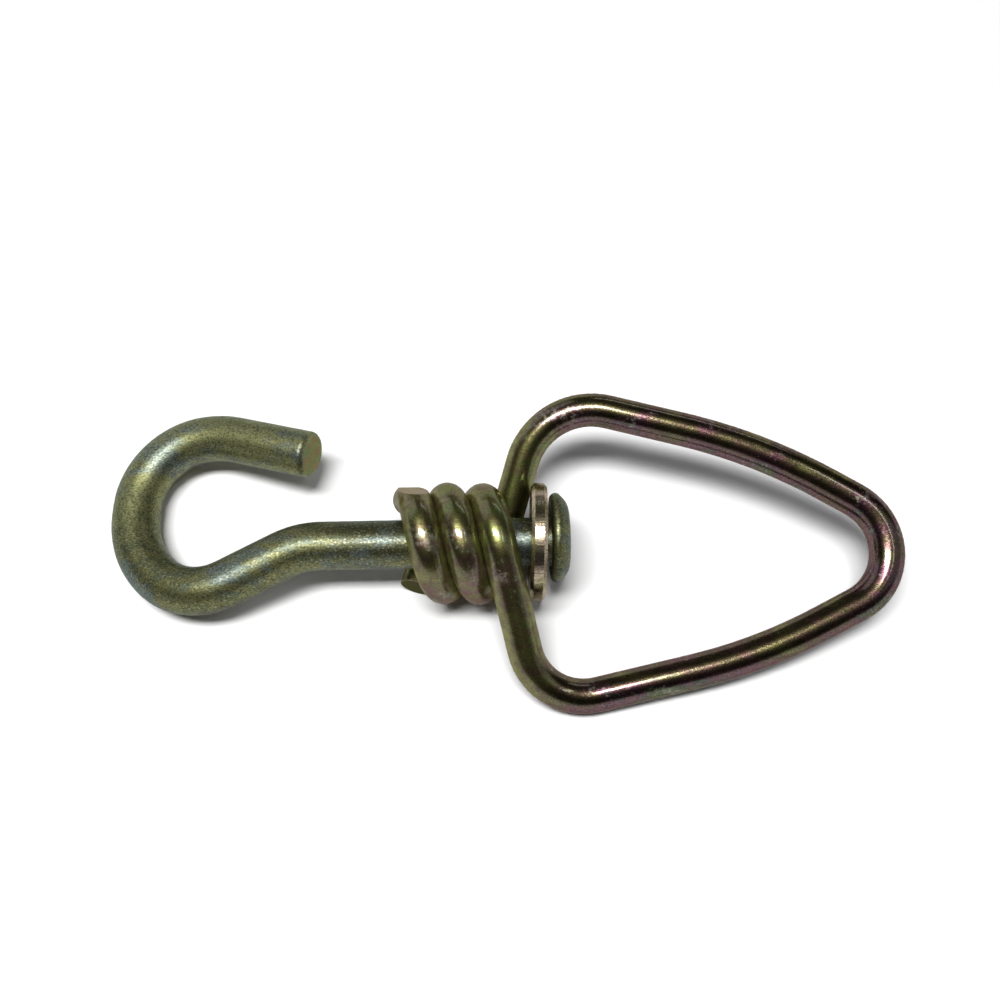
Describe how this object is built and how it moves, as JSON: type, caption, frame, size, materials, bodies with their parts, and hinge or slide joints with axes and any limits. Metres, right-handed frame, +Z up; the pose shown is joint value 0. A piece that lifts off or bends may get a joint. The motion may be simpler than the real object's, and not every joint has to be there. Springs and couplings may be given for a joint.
{
  "type": "chain swivel",
  "caption": "Chain swivel: an open steel hook whose headed shank turns in the wound wire eye of a pear-shaped bow, with a loose washer.",
  "frame": {"origin": "under the middle of the swivel's bounding box, on the surface it lies on", "axes": "+X runs along the hook's shank towards the nose of the bow, +Y across it on the side where the hook opens, +Z up"},
  "size_m": [0.116, 0.0468, 0.0175],
  "materials": {
    "hook_rod": "satin yellow zinc plating",
    "washer": "satin yellow zinc plating",
    "bow_wire": "bright yellow zinc plating"
  },
  "bodies": {
    "hook": {"hook": "hook_rod"},
    "washer": {"washer": "washer"},
    "link": {"link": "bow_wire"}
  },
  "joints": [
    {"name": "swivel_turn", "type": "hinge", "parent": "hook", "child": "washer", "pos_m": [-0.00118, 0.00005, 0.00877], "axis": [1, 0, 0], "continuous": true},
    {"name": "bow_slide", "type": "slide", "parent": "washer", "child": "link", "axis": [1, 0, 0], "range_m": [-0.009, 0]}
  ]
}
